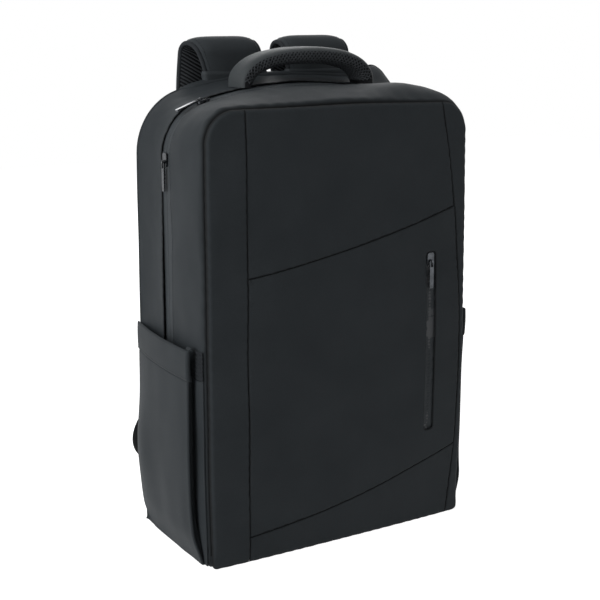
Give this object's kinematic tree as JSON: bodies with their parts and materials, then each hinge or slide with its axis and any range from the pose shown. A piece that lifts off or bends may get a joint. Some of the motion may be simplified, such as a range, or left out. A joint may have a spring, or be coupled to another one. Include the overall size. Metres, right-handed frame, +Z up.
{
  "type": "school backpack",
  "caption": "Upright school backpack with a clamshell main zip, padded laptop sleeve, side bottle pockets, zipped front pocket, carry handle and padded shoulder straps.",
  "frame": {"origin": "middle of the flat bottom, on the surface the backpack stands on", "axes": "+Z up, -Y out of the front panel, +Y out of the back panel and straps, +X to the right seen from the front"},
  "size_m": [0.3242, 0.1754, 0.5],
  "materials": {
    "coated_fabric": "matte polyurethane-coated polyester, charcoal",
    "strap_mesh": "black spacer mesh with slanting ribs",
    "back_mesh": "black air mesh over foam",
    "lining": "plain grey polyester lining",
    "binding": "black grosgrain binding",
    "webbing": "black ribbed polypropylene webbing",
    "buckle_plastic": "black acetal",
    "elastic": "black ribbed elastic",
    "zip_tape": "charcoal coil zip and tape",
    "zip_metal": "gunmetal plating"
  },
  "bodies": {
    "root": {"back_pad_left": "back_mesh", "back_pad_right": "back_mesh", "back_panel": "coated_fabric", "bottom_panel": "coated_fabric", "handle_patch_left": "coated_fabric", "handle_patch_right": "coated_fabric", "laptop_sleeve_binding": "binding", "laptop_sleeve_gusset": "lining", "laptop_sleeve_pad": "lining", "left_pocket_elastic": "elastic", "left_pocket_hem": "coated_fabric", "left_side_pocket": "coated_fabric", "left_webbing": "webbing", "left_webbing_wing": "coated_fabric", "lumbar_pad": "back_mesh", "main_zip_rear_half": "zip_tape", "rear_gusset": "coated_fabric", "rear_lining": "lining", "right_pocket_elastic": "elastic", "right_pocket_hem": "coated_fabric", "right_side_pocket": "coated_fabric", "right_webbing": "webbing", "right_webbing_wing": "coated_fabric", "strap_yoke": "coated_fabric"},
    "front_half": {"front_strip_left": "coated_fabric", "front_strip_right": "coated_fabric", "front_panel_lower": "coated_fabric", "front_panel_middle": "coated_fabric", "front_panel_upper": "coated_fabric", "front_pocket_zip": "zip_tape", "front_gusset": "coated_fabric", "main_zip_front_half": "zip_tape", "front_lining": "lining", "front_pocket_pouch": "lining", "organiser_panel": "lining", "organiser_binding": "binding"},
    "lower_slider": {"lower_slider": "zip_metal"},
    "lower_pull": {"lower_slider_pull": "zip_metal"},
    "upper_slider": {"upper_slider": "zip_metal"},
    "upper_pull": {"upper_slider_pull": "zip_metal"},
    "pocket_slider": {"front_pocket_slider": "zip_metal"},
    "pocket_pull": {"front_pocket_slider_pull": "zip_metal"},
    "carry_handle": {"handle_cover": "coated_fabric", "handle_mesh": "strap_mesh"},
    "left_strap": {"left_strap_cover": "coated_fabric", "left_strap_mesh": "strap_mesh", "left_strap_loop": "webbing"},
    "left_lock": {"left_ladder_lock": "buckle_plastic"},
    "right_strap": {"right_strap_cover": "coated_fabric", "right_strap_mesh": "strap_mesh", "right_strap_loop": "webbing"},
    "right_lock": {"right_ladder_lock": "buckle_plastic"}
  },
  "joints": [
    {"name": "front_open", "type": "hinge", "parent": "root", "child": "front_half", "pos_m": [0, -0.074, 0.01415], "axis": [1, 0, 0], "range_deg": [0, 15]},
    {"name": "lower_slider_run", "type": "slide", "parent": "root", "child": "lower_slider", "axis": [0, 0, -1], "range_m": [0, 0.321]},
    {"name": "lower_pull_swing", "type": "hinge", "parent": "lower_slider", "child": "lower_pull", "pos_m": [-0.1533, 0.0025, 0.3865], "axis": [0, 1, 0], "range_deg": [0, 180]},
    {"name": "upper_slider_run", "type": "hinge", "parent": "root", "child": "upper_slider", "pos_m": [0, 0.0025, 0.00687], "axis": [0, 1, 0], "range_deg": [0, 28]},
    {"name": "upper_pull_swing", "type": "hinge", "parent": "upper_slider", "child": "upper_pull", "pos_m": [-0.11235, 0.0025, 0.44378], "axis": [0, 1, 0], "range_deg": [0, 180]},
    {"name": "pocket_slider_run", "type": "slide", "parent": "front_half", "child": "pocket_slider", "axis": [0, 0, -1], "range_m": [0, 0.172]},
    {"name": "pocket_pull_swing", "type": "hinge", "parent": "pocket_slider", "child": "pocket_pull", "pos_m": [0.103, -0.08076, 0.2785], "axis": [-1, 0, 0], "range_deg": [0, 180]},
    {"name": "handle_tilt", "type": "hinge", "parent": "root", "child": "carry_handle", "pos_m": [0.012, 0.023, 0.461], "axis": [1, 0, 0], "range_deg": [-28, 28]},
    {"name": "left_strap_swing", "type": "hinge", "parent": "root", "child": "left_strap", "pos_m": [-0.0545, 0.066, 0.4671], "axis": [1, 0, 0], "range_deg": [0, 25]},
    {"name": "left_lock_tilt", "type": "hinge", "parent": "left_strap", "child": "left_lock", "pos_m": [-0.097, 0.088, 0.1732], "axis": [1, 0, 0], "range_deg": [0, 30]},
    {"name": "right_strap_swing", "type": "hinge", "parent": "root", "child": "right_strap", "pos_m": [0.0545, 0.066, 0.4671], "axis": [1, 0, 0], "range_deg": [0, 25]},
    {"name": "right_lock_tilt", "type": "hinge", "parent": "right_strap", "child": "right_lock", "pos_m": [0.097, 0.088, 0.1732], "axis": [1, 0, 0], "range_deg": [0, 30]}
  ]
}
